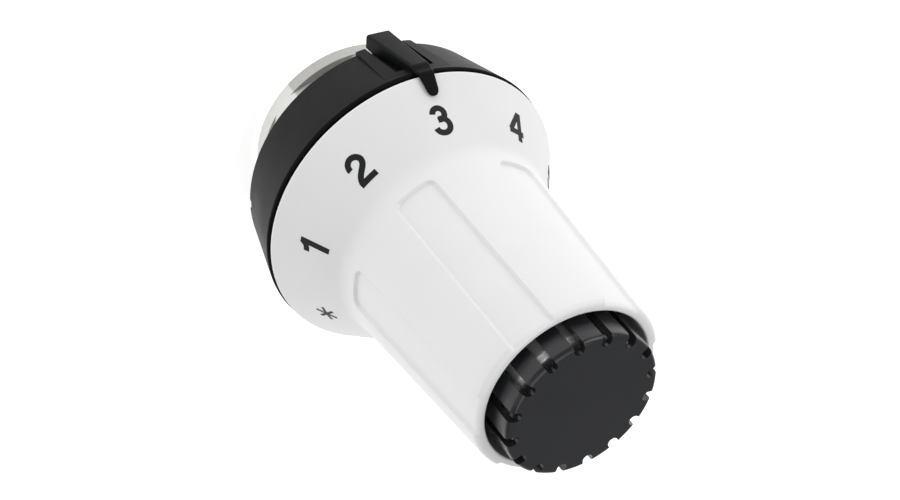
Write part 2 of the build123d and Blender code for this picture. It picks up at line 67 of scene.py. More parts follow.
ring_front_r = ring_high.x
rim_r = ring_front_r - 0.2 * mm
rim_z = ring_high.z + 0.6 * mm
rim_edge = 0.5 * mm
mouth_z = handle_high.z
wall = 1.9 * mm
cap_r = shell_high.x + 0.8 * mm
mouth_r = cap_r + 1.07 * mm
mouth_outer_r = mouth_r + 1.78 * mm
waist_z = rim_z + 11.9 * mm
taper = 0.0758  # fall of the barrel radius per length
waist_r = mouth_outer_r + taper * (mouth_z - waist_z)
cap_seat_depth = 8.3 * mm
cap_seat_z = mouth_z - cap_seat_depth
print("dial rim radius", round(rim_r * 1000, 2), "waist", round(waist_r * 1000, 2))

# %% [markdown]
# Most moulded and turned parts are a section carried round an axis. The section is written as corners,
# each with its own rounding and the step at which the run that follows is divided.

# %% A section with rounded corners
def rounded_section(corners, arc_steps=6, closed=True):
    """Points of an outline from corners (radius, height, rounding, step)."""
    points = []
    count = len(corners)
    ends = []
    for i, (x, z, size, _) in enumerate(corners):
        here = Vector((x, z))
        before = Vector(corners[i - 1][:2])
        after = Vector(corners[(i + 1) % count][:2])
        if size == 0 or (not closed and i in (0, count - 1)):
            ends.append([here])
            continue
        a = (before - here).normalized()
        b = (after - here).normalized()
        half = a.angle(b) / 2
        reach = size / math.tan(half)
        centre = here + (a + b).normalized() * (size / math.sin(half))
        start = here + a * reach
        sweep = (start - centre).angle_signed(here + b * reach - centre)
        arc = []
        for k in range(arc_steps + 1):
            arc.append(centre + Matrix.Rotation(-sweep * k / arc_steps, 2) @ (start - centre))
        ends.append(arc)
    for i, arc in enumerate(ends):
        points.extend(arc)
        if i == count - 1 and not closed:
            break
        target = ends[(i + 1) % count][0]
        step = corners[i][3]
        cuts = int((target - arc[-1]).length / step) if step else 0
        for k in range(1, cuts + 1):
            points.append(arc[-1].lerp(target, k / (cuts + 1)))
    return points


def new_mesh_object(name, verts, faces):
    """An object at the origin from vertices and faces, shaded smooth."""
    mesh = bpy.data.meshes.new(name)
    mesh.from_pydata([tuple(v) for v in verts], [], faces)
    mesh.validate()
    mesh.shade_smooth()
    made = bpy.data.objects.new(name, mesh)
    bpy.context.collection.objects.link(made)
    return made


print("helper ready")

# %% [markdown]
# Every shader and geometry tree below is written with the same two short helpers: one adds a node and
# feeds its inputs in order, the other does a sum.

# %% Node helpers
def add(tree, kind, *feeds, **settings):
    """Adds a node. Each feed is a socket to join, a value to set, or None to leave alone."""
    made = tree.nodes.new(kind)
    for key, value in settings.items():
        setattr(made, key, value)
    for socket, feed in zip(made.inputs, feeds):
        if feed is None:
            continue
        if isinstance(feed, bpy.types.NodeSocket):
            tree.links.new(feed, socket)
        else:
            socket.default_value = feed
    return made


def sums(tree, operation, *feeds):
    """The result of a Math node."""
    return add(tree, "ShaderNodeMath", *feeds, operation=operation).outputs[0]


def ramp(tree, factor, low, high, out_low=0.0, out_high=1.0, smooth=False):
    """Carries a value from one range to another, clamped."""
    kind = "SMOOTHSTEP" if smooth else "LINEAR"
    made = add(tree, "ShaderNodeMapRange", factor, low, high, out_low, out_high, interpolation_type=kind)
    return made.outputs[0]


def finished(piece):
    """Turns the evaluated result into a plain mesh and removes the modifiers."""
    evaluated = piece.evaluated_get(bpy.context.evaluated_depsgraph_get())
    mesh = bpy.data.meshes.new_from_object(evaluated)
    mesh.name = piece.name
    piece.modifiers.clear()
    piece.data = mesh
    return piece


print("node helpers ready")

# %% [markdown]
# ## Shared effects
# Moulded plastic is never perfectly even: it has a fine spark-eroded grain and a slow drift in gloss.
# One group makes both, and each plastic sets its own grain size and strength.

# %% Group: moulded grain
def new_group(name, sockets_in, sockets_out):
    """A shader group with named inputs (name, default) and outputs (name, type)."""
    group = bpy.data.node_groups.new(name, "ShaderNodeTree")
    for title, default in sockets_in:
        made = group.interface.new_socket(title, in_out="INPUT", socket_type="NodeSocketFloat")
        made.default_value = default
    for title, kind in sockets_out:
        group.interface.new_socket(title, in_out="OUTPUT", socket_type=kind)
    return group, group.nodes.new("NodeGroupInput"), group.nodes.new("NodeGroupOutput")


outs = [("Shade", "NodeSocketFloat"), ("Roughness", "NodeSocketFloat"), ("Height", "NodeSocketFloat")]
grain_group, given, result = new_group(
    "moulded_grain",
    [("Grain Scale", 9000.0), ("Roughness", 0.4), ("Roughness Drift", 0.06), ("Shade Drift", 0.03)],
    outs,
)
place = add(grain_group, "ShaderNodeTexCoord").outputs["Object"]
grain = add(grain_group, "ShaderNodeTexNoise", place, None, given.outputs["Grain Scale"], 3.0, 0.6)
drift = add(grain_group, "ShaderNodeTexNoise", place, None, 90.0, 3.0, 0.55)
shade = ramp(grain_group, drift.outputs["Fac"], 0.3, 0.7, -1.0, 1.0)
shade = sums(grain_group, "MULTIPLY_ADD", shade, given.outputs["Shade Drift"], 1.0)
rough = ramp(grain_group, drift.outputs["Fac"], 0.3, 0.7, -0.6, 0.6)
speck = ramp(grain_group, grain.outputs["Fac"], 0.35, 0.65, -0.4, 0.4)
rough = sums(grain_group, "ADD", rough, speck)
rough = sums(grain_group, "MULTIPLY_ADD", rough, given.outputs["Roughness Drift"], given.outputs["Roughness"])
for socket, source in zip(result.inputs, (shade, rough, grain.outputs["Fac"])):
    grain_group.links.new(source, socket)
print("group:", grain_group.name)

# %% [markdown]
# Turned metal carries fine rings left by the tool. They follow the distance from the axis on a face and
# the height on a cylinder, so a very stretched noise over (radius, height) gives both.

# %% Group: turned marks
turned_group, given, result = new_group(
    "turned_marks",
    [("Ring Scale", 5000.0), ("Roughness", 0.3), ("Roughness Drift", 0.1), ("Shade Drift", 0.05)],
    outs,
)
place = add(turned_group, "ShaderNodeTexCoord").outputs["Object"]
split = add(turned_group, "ShaderNodeSeparateXYZ", place)
flat = add(turned_group, "ShaderNodeCombineXYZ", split.outputs[0], split.outputs[1])
radius = add(turned_group, "ShaderNodeVectorMath", flat.outputs[0], operation="LENGTH").outputs["Value"]
rings_at = add(turned_group, "ShaderNodeCombineXYZ", radius, split.outputs[2])
ring_scale = given.outputs["Ring Scale"]
rings = add(turned_group, "ShaderNodeTexNoise", rings_at.outputs[0], None, ring_scale, 2.0, 0.6)
cloud = add(turned_group, "ShaderNodeTexNoise", place, None, 300.0, 4.0, 0.6)
both = sums(turned_group, "ADD", rings.outputs["Fac"], cloud.outputs["Fac"])
spread = ramp(turned_group, both, 0.7, 1.3, -1.0, 1.0)
shade = sums(turned_group, "MULTIPLY_ADD", spread, given.outputs["Shade Drift"], 1.0)
rough = sums(turned_group, "MULTIPLY_ADD", spread, given.outputs["Roughness Drift"],
             given.outputs["Roughness"])
for socket, source in zip(result.inputs, (shade, rough, rings.outputs["Fac"])):
    turned_group.links.new(source, socket)
print("group:", turned_group.name)

# %% [markdown]
# The nut is made from a rough casting. Three sectors of its outside keep the grey, speckled skin and
# three are turned bright. The sectors follow the angle about the axis; the bore stays bright all round.

# %% Group: cast and turned sectors
cast_turn = math.radians(46.5)
sectors = 3
cast_group, given, result = new_group(
    "cast_and_turned",
    [("Speckle Scale", 2600.0), ("Roughness", 0.3), ("Roughness Drift", 0.25), ("Shade Drift", 0.55)],
    outs,
)
place = add(cast_group, "ShaderNodeTexCoord").outputs["Object"]
split = add(cast_group, "ShaderNodeSeparateXYZ", place)
flat = add(cast_group, "ShaderNodeCombineXYZ", split.outputs[0], split.outputs[1])
radius = add(cast_group, "ShaderNodeVectorMath", flat.outputs[0], operation="LENGTH").outputs["Value"]
angle = sums(cast_group, "ARCTAN2", split.outputs[1], split.outputs[0])
sector = sums(cast_group, "MULTIPLY", sums(cast_group, "ADD", angle, cast_turn), sectors / math.tau)
sector = sums(cast_group, "ABSOLUTE", sums(cast_group, "SUBTRACT", sums(cast_group, "FRACT", sector), 0.75))
cast = ramp(cast_group, sector, 0.245, 0.255, 1.0, 0.0)
cast = sums(cast_group, "MULTIPLY", cast, ramp(cast_group, radius, 0.0153, 0.0157))
speckle = add(cast_group, "ShaderNodeTexNoise", place, None, given.outputs["Speckle Scale"], 4.0, 0.7)
speck = ramp(cast_group, speckle.outputs["Fac"], 0.3, 0.7, 0.55, 1.25)
darker = sums(cast_group, "MULTIPLY", sums(cast_group, "MULTIPLY", cast, speck), given.outputs["Shade Drift"])
faint = ramp(cast_group, speckle.outputs["Fac"], 0.3, 0.7, 0.95, 1.03)
shade = sums(cast_group, "SUBTRACT", faint, darker)
rough = sums(cast_group, "MULTIPLY_ADD", cast, given.outputs["Roughness Drift"], given.outputs["Roughness"])
height = sums(cast_group, "MULTIPLY", speckle.outputs["Fac"], ramp(cast_group, cast, 0.0, 1.0, 0.25, 1.0))
for socket, source in zip(result.inputs, (shade, rough, height)):
    cast_group.links.new(source, socket)
print("group:", cast_group.name)

# %% [markdown]
# ## Materials
# Each material keeps its own Principled shader. The group only varies its colour, gloss and relief.

# %% Material maker
def make_material(name, colour, group, scale, rough, rough_drift, shade_drift, relief, metallic=0.0, coat=0.0,
                  specular=0.5):
    """A Principled material whose colour, roughness and bump come from one of the shared groups."""
    material = bpy.data.materials.new(name)
    material.use_nodes = True
    tree = material.node_tree
    shader = tree.nodes["Principled BSDF"]
    shader.inputs["Metallic"].default_value = metallic
    shader.inputs["Coat Weight"].default_value = coat
    shader.inputs["Coat Roughness"].default_value = 0.15
    shader.inputs["Specular IOR Level"].default_value = specular
    effect = add(tree, "ShaderNodeGroup", node_tree=group)
    for socket, value in zip(effect.inputs, (scale, rough, rough_drift, shade_drift)):
        socket.default_value = value
    tint = add(tree, "ShaderNodeVectorMath", (*colour,), operation="SCALE")
    tree.links.new(effect.outputs["Shade"], tint.inputs["Scale"])
    tree.links.new(tint.outputs[0], shader.inputs["Base Color"])
    tree.links.new(effect.outputs["Roughness"], shader.inputs["Roughness"])
    bump = add(tree, "ShaderNodeBump", 1.0, relief * mm)
    tree.links.new(effect.outputs["Height"], bump.inputs["Height"])
    tree.links.new(bump.outputs[0], shader.inputs["Normal"])
    return material


white = make_material("white_plastic", (0.80, 0.805, 0.80), grain_group, 7000, 0.42, 0.05, 0.012, 0.0012,
                      coat=0.05)
black = make_material("black_plastic", (0.0055, 0.0058, 0.0066), grain_group, 5000, 0.42, 0.08, 0.10, 0.004,
                      specular=0.07)
cap_black = make_material("cap_plastic", (0.013, 0.0137, 0.0155), grain_group, 6000, 0.24, 0.06, 0.10, 0.0015,
                          specular=0.42)
acetal = make_material("inner_plastic", (0.60, 0.57, 0.50), grain_group, 3000, 0.45, 0.08, 0.05, 0.003)
ink = make_material("dial_ink", (0.008, 0.009, 0.0085), grain_group, 9000, 0.50, 0.10, 0.10, 0.002,
                    specular=0.3)
nickel = make_material("nut_metal", (0.80, 0.795, 0.77), cast_group, 2600, 0.46, 0.20, 0.27, 0.010,
                       metallic=0.7)
brass = make_material("bush_brass", (0.70, 0.52, 0.25), turned_group, 3500, 0.30, 0.10, 0.08, 0.003,
                      metallic=1.0)
bright = make_material("capsule_metal", (0.90, 0.90, 0.90), turned_group, 2500, 0.34, 0.08, 0.06, 0.002,
                       metallic=0.6)
bronze = make_material("bellows_metal", (0.72, 0.50, 0.28), turned_group, 2500, 0.32, 0.10, 0.08, 0.003,
                       metallic=1.0)
steel = make_material("spring_steel", (0.50, 0.50, 0.52), turned_group, 3500, 0.28, 0.10, 0.08, 0.003,
                      metallic=1.0)
pin_red = make_material("pin_red", (0.52, 0.03, 0.02), grain_group, 4000, 0.40, 0.08, 0.06, 0.003)
pin_blue = make_material("pin_blue", (0.02, 0.08, 0.40), grain_group, 4000, 0.40, 0.08, 0.06, 0.003)
print("materials:", len(bpy.data.materials))

# %% Finishes of the modelled nodes
finishes = {
    "white_plastic": white, "black_plastic": black, "cap_plastic": cap_black, "inner_plastic": acetal,
    "nut_metal": nickel, "bush_brass": brass, "capsule_metal": bright, "bellows_metal": bronze,
    "spring_steel": steel, "pin_red": pin_red, "pin_blue": pin_blue,
}
for part in frame["record"]["subparts"]:
    holder = nodes[part["node"]]
    for slot in holder.material_slots:
        slot.link = "OBJECT"
        slot.material = finishes[part["material_slot"]]

# %% [markdown]
# ## Dial handle
# The handle is a turned shape with six shallow grip panels let into the barrel. Its surface follows a
# rule, so Geometry Nodes make it: a grid is rolled round the section, and each point inside a panel's
# rounded outline is sunk a little. The edge of the outline is a smooth step, like a moulded radius.

# %% The handle's section
handle_corners = [
    (rim_r - wall, rim_z, 0.3 * mm, 0.4 * mm),
    (rim_r, rim_z, 0.25 * mm, 0),
    (rim_r, rim_z + rim_edge, 0.35 * mm, 0.9 * mm),
    (waist_r, waist_z, 6.0 * mm, 0),
    (waist_r - 2.3 * mm * taper, waist_z + 2.3 * mm, 0, 0.11 * mm),
    (waist_r - 4.5 * mm * taper, waist_z + 4.5 * mm, 0, 1.6 * mm),
    (mouth_outer_r, mouth_z, 0.9 * mm, 0.3 * mm),
    (mouth_r, mouth_z, 0.35 * mm, 0.9 * mm),
    (mouth_r, cap_seat_z, 0, 0),
    (mouth_outer_r + taper * cap_seat_depth - wall, cap_seat_z, 0, 3 * mm),
    (waist_r - wall, waist_z - wall / 2, 2.0 * mm, 1.5 * mm),
]
print("handle corners:", len(handle_corners))

# %% The section as a curve that Geometry Nodes can read
def section_curve(name, points, outside):
    """A closed poly curve in the XZ plane. Its point radius is 1 where the surface is outside."""
    curve = bpy.data.curves.new(name, "CURVE")
    curve.dimensions = "3D"
    spline = curve.splines.new("POLY")
    spline.points.add(len(points) - 1)
    for point, place in zip(spline.points, points):
        point.co = (place.x, 0, place.y, 1)
        point.radius = outside(place)
    spline.use_cyclic_u = True
    made = bpy.data.objects.new(name, curve)
    bpy.context.collection.objects.link(made)
    return made


def handle_outside(place):
    """1 on the outer face, falling to 0 over the mouth's lip, 0 inside."""
    r, z = place
    if z < rim_z + rim_edge:
        return 0.0
    inner = mouth_r + 0.35 * mm
    if z > cap_seat_z:
        return min(max((r - inner) / (mouth_outer_r - inner), 0.0), 1.0)
    share = (z - rim_z) / (waist_z - rim_z)
    skin = rim_r + (waist_r - rim_r) * share if share < 1 else waist_r + taper * (waist_z - z)
    return 1.0 if r > skin - wall / 2 else 0.0


handle_points = rounded_section(handle_corners)
handle_curve = section_curve("handle_section", handle_points, handle_outside)
print("section points:", len(handle_points))

# %% [markdown]
# The panel's outline is a rounded rectangle on the barrel. Its signed distance is worked out from the
# width either side of the panel's middle line and the height above its lower edge; negative is inside.

# %% Geometry tree: a turned skin with sunk panels
def new_geometry_tree(name, inputs):
    """A geometry tree with named inputs (name, socket type) and one geometry output."""
    tree = bpy.data.node_groups.new(name, "GeometryNodeTree")
    for title, kind in inputs:
        tree.interface.new_socket(title, in_out="INPUT", socket_type=kind)
    tree.interface.new_socket("Geometry", in_out="OUTPUT", socket_type="NodeSocketGeometry")
    return tree, tree.nodes.new("NodeGroupInput").outputs, tree.nodes.new("NodeGroupOutput").inputs[0]


def set_inputs(piece, tree, **values):
    """Adds the tree as a modifier and sets its inputs by their identifiers."""
    modifier = piece.modifiers.new(tree.name, "NODES")
    modifier.node_group = tree
    for item in tree.interface.items_tree:
        title = item.name.replace(" ", "_").lower()
        if item.in_out == "INPUT" and title in values:
            modifier[item.identifier] = values.pop(title)
    if values:
        raise ValueError(f"no such inputs: {list(values)}")
    return modifier


handle_tree, given, result = new_geometry_tree("turned_skin_with_panels", [
    ("Section", "NodeSocketObject"), ("Section Points", "NodeSocketInt"), ("Around", "NodeSocketInt"),
    ("Panels", "NodeSocketInt"), ("Panel Width", "NodeSocketFloat"), ("Panel Start", "NodeSocketFloat"),
    ("Panel Corner", "NodeSocketFloat"), ("Panel Depth", "NodeSocketFloat"),
    ("Edge Softness", "NodeSocketFloat"), ("Material", "NodeSocketMaterial"),
])
t = handle_tree
rows = sums(t, "ADD", given["Section Points"], 1.0)
around = sums(t, "ADD", given["Around"], 1.0)
grid = add(t, "GeometryNodeMeshGrid", 1.0, 1.0, around, rows)
where = add(t, "ShaderNodeSeparateXYZ", add(t, "GeometryNodeInputPosition").outputs[0])
turn = sums(t, "MULTIPLY", sums(t, "ADD", where.outputs[0], 0.5), math.tau)
row = sums(t, "ROUND", sums(t, "MULTIPLY", sums(t, "ADD", where.outputs[1], 0.5), given["Section Points"]))
row = sums(t, "MODULO", row, given["Section Points"])
section = add(t, "GeometryNodeObjectInfo", given["Section"]).outputs["Geometry"]
spot = add(t, "GeometryNodeSampleIndex", data_type="FLOAT_VECTOR")
t.links.new(add(t, "GeometryNodeInputPosition").outputs[0], spot.inputs["Value"])
flag = add(t, "GeometryNodeSampleIndex", data_type="FLOAT")
t.links.new(add(t, "GeometryNodeInputRadius").outputs[0], flag.inputs["Value"])
for sample in (spot, flag):
    t.links.new(section, sample.inputs["Geometry"])
    t.links.new(row, sample.inputs["Index"])
on_section = add(t, "ShaderNodeSeparateXYZ", spot.outputs[0])
skin_r, skin_z = on_section.outputs[0], on_section.outputs[2]
print("tree started:", handle_tree.name)

# %% The panel rule
in_panels = sums(t, "MULTIPLY", turn, sums(t, "DIVIDE", given["Panels"], math.tau))
local = sums(t, "SUBTRACT", sums(t, "FRACT", sums(t, "ADD", in_panels, 0.5)), 0.5)
local = sums(t, "ABSOLUTE", sums(t, "DIVIDE", sums(t, "MULTIPLY", local, math.tau), given["Panels"]))
side = sums(t, "MULTIPLY", sums(t, "SINE", local), skin_r)
side = sums(t, "SUBTRACT", side, sums(t, "MULTIPLY", given["Panel Width"], 0.5))
end = sums(t, "SUBTRACT", given["Panel Start"], skin_z)
qx = sums(t, "ADD", side, given["Panel Corner"])
qz = sums(t, "ADD", end, given["Panel Corner"])
hypotenuse = sums(t, "SQRT", sums(
    t, "ADD", sums(t, "POWER", sums(t, "MAXIMUM", qx, 0.0), 2.0),
    sums(t, "POWER", sums(t, "MAXIMUM", qz, 0.0), 2.0),
))
inside = sums(t, "MINIMUM", sums(t, "MAXIMUM", qx, qz), 0.0)
distance = sums(t, "SUBTRACT", sums(t, "ADD", hypotenuse, inside), given["Panel Corner"])
half_soft = sums(t, "MULTIPLY", given["Edge Softness"], 0.5)
mask = ramp(t, distance, sums(t, "MULTIPLY", half_soft, -1.0), half_soft, 1.0, 0.0, smooth=True)
sunk = sums(t, "MULTIPLY", sums(t, "MULTIPLY", mask, flag.outputs[0]), given["Panel Depth"])
r = sums(t, "SUBTRACT", skin_r, sunk)
place = add(t, "ShaderNodeCombineXYZ", sums(t, "MULTIPLY", r, sums(t, "COSINE", turn)),
            sums(t, "MULTIPLY", r, sums(t, "SINE", turn)), skin_z)
rolled = add(t, "GeometryNodeSetPosition", grid.outputs["Mesh"], None, place.outputs[0])
welded = add(t, "GeometryNodeMergeByDistance", rolled.outputs[0])
welded.inputs["Distance"].default_value = 1e-6
real = add(t, "GeometryNodeRealizeInstances", welded.outputs[0])
coloured = add(t, "GeometryNodeSetMaterial", real.outputs[0], None, given["Material"])
t.links.new(coloured.outputs[0], result)
print("tree nodes:", len(t.nodes))

# %% Make the handle
def outward(piece):
    """Recalculates the faces of a closed mesh so that they point outwards, and shades it smooth."""
    bm = bmesh.new()
    bm.from_mesh(piece.data)
    bmesh.ops.remove_doubles(bm, verts=bm.verts, dist=1e-7)
    bmesh.ops.recalc_face_normals(bm, faces=bm.faces)
    bm.to_mesh(piece.data)
    bm.free()
    piece.data.shade_smooth()
    return piece


handle = new_mesh_object("dial_handle_skin", [], [])
set_inputs(
    handle, handle_tree, section=handle_curve, section_points=len(handle_points), around=720, panels=6,
    panel_width=7.2 * mm, panel_start=waist_z + 2.6 * mm, panel_corner=1.3 * mm,
    panel_depth=0.52 * mm, edge_softness=0.28 * mm, material=white,
)
outward(finished(handle))
bpy.data.objects.remove(handle_curve)
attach(handle, "dial")
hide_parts("dial_handle")
print("handle faces:", len(handle.data.polygons))

# %% [markdown]
# ## Numerals
# The figures are pad-printed on the flared skirt. Each is drawn flat from a few strokes, as a signwriter
# would, and Geometry Nodes give the strokes their width and roll them onto the cone.

# %% Strokes of the figures
ink_w = 0.98
star_w = 0.5
top = 2.6 - ink_w / 2


def arc_points(cx, cy, size, first, last, steps=20):
    """Points of an arc, in degrees, from one angle to another."""
    points = []
    for k in range(steps + 1):
        a = math.radians(first + (last - first) * k / steps)
        points.append((cx + size * math.cos(a), cy + size * math.sin(a)))
    return points


def bend(a, b, c, d, steps=14):
    """Points of a cubic curve from a to d with handles b and c."""
    points = []
    for k in range(steps + 1):
        s = k / steps
        weights = ((1 - s) ** 3, 3 * s * (1 - s) ** 2, 3 * s * s * (1 - s), s ** 3)
        points.append(tuple(sum(w * p[i] for w, p in zip(weights, (a, b, c, d))) for i in (0, 1)))
    return points


def straight(a, b, steps=10):
    """Points of a straight stroke."""
    return [(a[0] + (b[0] - a[0]) * k / steps, a[1] + (b[1] - a[1]) * k / steps) for k in range(steps + 1)]


figures = {
    "1": [straight((0.45, -2.6), (0.45, 2.6)), bend((0.3, 2.2), (0.0, 1.5), (-0.5, 1.3), (-1.2, 1.28))],
    "2": [
        arc_points(0.0, top - 1.25, 1.25, 188, 8)
        + bend((1.23, top - 1.2), (1.05, -0.35), (-1.0, -0.5), (-1.22, -top))[1:],
        straight((-1.65, -top), (1.7, -top)),
    ],
    "3": [
        arc_points(-0.05, top - 0.98, 0.98, 172, -90) + [(-0.5, top - 1.96)],
        [(-0.3, 0.28)] + arc_points(-0.05, 0.28 - (0.28 + top) / 2, (0.28 + top) / 2, 90, -172),
    ],
    "4": [
        straight((0.55, 2.45), (-1.5, -0.95)), straight((-1.75, -1.05), (1.7, -1.05)),
        straight((0.72, -2.6), (0.72, 2.6)),
    ],
    "5": [
        straight((-1.05, top), (1.45, top)), straight((-1.0, top), (-1.2, -0.1)),
        arc_points(-0.05, -0.8, 1.38, 146, -165),
    ],
    "star": [
        straight((-1.85, 0), (1.85, 0)), straight((-0.93, -1.6), (0.93, 1.6)),
        straight((-0.93, 1.6), (0.93, -1.6)),
    ],
}
print("figures:", list(figures))

# %% Geometry tree: strokes rolled onto the skirt
stroke_tree, given, result = new_geometry_tree("strokes_on_cone", [
    ("Strokes", "NodeSocketObject"), ("Stroke Width", "NodeSocketFloat"),
    ("Ink Thickness", "NodeSocketFloat"),
    ("Centre Radius", "NodeSocketFloat"), ("Centre Height", "NodeSocketFloat"),
    ("Slope", "NodeSocketFloat"), ("Turn", "NodeSocketFloat"), ("Material", "NodeSocketMaterial"),
])
t = stroke_tree
lines = add(t, "GeometryNodeObjectInfo", given["Strokes"]).outputs["Geometry"]
blade = add(t, "GeometryNodeCurvePrimitiveQuadrilateral", given["Stroke Width"], given["Ink Thickness"])
ribbon = add(t, "GeometryNodeCurveToMesh", lines, blade.outputs[0])
ribbon.inputs["Fill Caps"].default_value = True
where = add(t, "ShaderNodeSeparateXYZ", add(t, "GeometryNodeInputPosition").outputs[0])
lean_r = sums(t, "SINE", given["Slope"])
lean_z = sums(t, "COSINE", given["Slope"])
flat_r = sums(t, "MULTIPLY_ADD", where.outputs[1], lean_r, given["Centre Radius"])
height = sums(t, "SUBTRACT", given["Centre Height"], sums(t, "MULTIPLY", where.outputs[1], lean_z))
drop = sums(t, "SUBTRACT", given["Centre Height"], height)
cone_r = sums(t, "MULTIPLY_ADD", drop, sums(t, "TANGENT", given["Slope"]), given["Centre Radius"])
angle = sums(t, "ARCTAN2", sums(t, "MULTIPLY", where.outputs[0], -1.0), flat_r)
angle = sums(t, "ADD", angle, given["Turn"])
out_r = sums(t, "MULTIPLY_ADD", where.outputs[2], lean_z, cone_r)
out_z = sums(t, "MULTIPLY_ADD", where.outputs[2], lean_r, height)
place = add(t, "ShaderNodeCombineXYZ", sums(t, "MULTIPLY", out_r, sums(t, "COSINE", angle)),
            sums(t, "MULTIPLY", out_r, sums(t, "SINE", angle)), out_z)
wrapped = add(t, "GeometryNodeSetPosition", ribbon.outputs[0], None, place.outputs[0])
real = add(t, "GeometryNodeRealizeInstances", wrapped.outputs[0])
coloured = add(t, "GeometryNodeSetMaterial", real.outputs[0], None, given["Material"])
t.links.new(coloured.outputs[0], result)
print("tree nodes:", len(t.nodes))

# %% Print the figures on the skirt
skirt_slope = math.atan2(rim_r - waist_r, waist_z - rim_z - rim_edge)
figure_z = rim_z + 6.85 * mm
figure_r = rim_r - (figure_z - rim_z - rim_edge) * math.tan(skirt_slope)


def stroke_curve(name, strokes):
    """Flat strokes as poly curves in metres, each lifted a hair above the one before."""
    curve = bpy.data.curves.new(name, "CURVE")
    curve.dimensions = "3D"
    for i, stroke in enumerate(strokes):
        spline = curve.splines.new("POLY")
        spline.points.add(len(stroke) - 1)
        for point, (x, y) in zip(spline.points, stroke):
            point.co = (x * mm, y * mm, (0.012 + 0.006 * i) * mm, 1)
    made = bpy.data.objects.new(name, curve)
    bpy.context.collection.objects.link(made)
    return made


figure_angles = {"3": -89, "2": -49, "1": -9, "star": 30, "4": -129, "5": -169}
for title, degrees in figure_angles.items():
    strokes = stroke_curve("strokes_" + title, figures[title])
    figure = new_mesh_object("figure_" + title, [], [])
    set_inputs(
        figure, stroke_tree, strokes=strokes, stroke_width=(star_w if title == "star" else ink_w) * mm,
        ink_thickness=0.03 * mm, centre_radius=figure_r, centre_height=figure_z, slope=skirt_slope,
        turn=math.radians(degrees), material=ink,
    )
    outward(finished(figure))
    figure.data.shade_flat()
    bpy.data.objects.remove(strokes)
    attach(figure, "dial")
print("figures on the skirt:", len(figure_angles))

# %% [markdown]
# ## End cap
# The cap is turned in one closed section. Sixteen cutters with round ends then open the air slots, and
# a narrow bevel softens every edge the cutters leave.

# %% A closed skin turned about the axis
def turned_skin(name, points, around):
    """A lathed mesh from outline points (radius, height). Points on the axis close to one vertex."""
    verts = []
    rings = []
    for place in points:
        if place.x < 1e-9:
            rings.append([len(verts)])
            verts.append((0, 0, place.y))
            continue
        rings.append(list(range(len(verts), len(verts) + around)))
        for k in range(around):
            angle = math.tau * k / around
            verts.append((place.x * math.cos(angle), place.x * math.sin(angle), place.y))
    faces = []
    for i in range(len(rings)):
        a, b = rings[i], rings[(i + 1) % len(rings)]
        if len(a) == 1 and len(b) == 1:
            continue
        for k in range(around):
            n = (k + 1) % around
            face = [a[k % len(a)], a[n % len(a)], b[n % len(b)], b[k % len(b)]]
            faces.append(list(dict.fromkeys(face)))
    return new_mesh_object(name, verts, faces)


cap_flange_r = waist_r - taper * (cap_seat_z - waist_z) - wall - 0.05 * mm
cap_inner_r = cap_r - 1.2 * mm
cap_under_z = cap_high.z - 1.0 * mm
cap_section = rounded_section([
    (0, cap_under_z, 0, 0), (cap_inner_r, cap_under_z, 0.3 * mm, 0), (cap_inner_r, cap_low.z, 0.15 * mm, 0),
    (cap_flange_r, cap_low.z, 0.2 * mm, 0), (cap_flange_r, cap_seat_z, 0.15 * mm, 0),
    (cap_r, cap_seat_z, 0.1 * mm, 0), (cap_r, cap_high.z, 0.9 * mm, 0), (0, cap_high.z, 0, 0),
], closed=False)
cap = turned_skin("end_cap_skin", cap_section, 256)
print("cap section points:", len(cap_section))

# %% One slot cutter
def slot_cutter(name, inner, outer, width, low, high, steps=12):
    """A bar along +X with a half-round inner end."""
    outline = [(outer, -width / 2), (outer, width / 2)]
    for k in range(steps + 1):
        angle = math.pi / 2 + math.pi * k / steps
        outline.append((inner + width / 2 + width / 2 * math.cos(angle), width / 2 * math.sin(angle)))
    count = len(outline)
    verts = [(x, y, z) for z in (low, high) for x, y in outline]
    faces = [[k, (k + 1) % count, count + (k + 1) % count, count + k] for k in range(count)]
    faces += [list(range(count))[::-1], list(range(count, 2 * count))]
    return new_mesh_object(name, verts, faces)


cutter = slot_cutter(
    "slot_cutter", cap_r - 2.0 * mm, cap_r + 3 * mm, 1.7 * mm, cap_seat_z + 1.5 * mm, cap_high.z + 2 * mm
)

# %% Geometry tree: slots round the cap
slot_tree, given, result = new_geometry_tree("slots_round_a_cap", [
    ("Geometry", "NodeSocketGeometry"), ("Cutter", "NodeSocketObject"), ("Slots", "NodeSocketInt"),
    ("Material", "NodeSocketMaterial"),
])
t = slot_tree
tool = add(t, "GeometryNodeObjectInfo", given["Cutter"]).outputs["Geometry"]
marks = add(t, "GeometryNodePoints", given["Slots"])
index = add(t, "GeometryNodeInputIndex").outputs[0]
turn = sums(t, "MULTIPLY", sums(t, "ADD", index, 0.5), sums(t, "DIVIDE", math.tau, given["Slots"]))
facing = add(t, "ShaderNodeCombineXYZ", 0.0, 0.0, turn)
copies = add(t, "GeometryNodeInstanceOnPoints", marks.outputs[0])
t.links.new(tool, copies.inputs["Instance"])
t.links.new(facing.outputs[0], copies.inputs["Rotation"])
tools = add(t, "GeometryNodeRealizeInstances", copies.outputs[0])
cut = add(t, "GeometryNodeMeshBoolean", operation="DIFFERENCE", solver="EXACT")
t.links.new(given["Geometry"], cut.inputs["Mesh 1"])
t.links.new(tools.outputs[0], cut.inputs["Mesh 2"])
real = add(t, "GeometryNodeRealizeInstances", cut.outputs["Mesh"])
coloured = add(t, "GeometryNodeSetMaterial", real.outputs[0], None, given["Material"])
t.links.new(coloured.outputs[0], result)
print("tree nodes:", len(t.nodes))

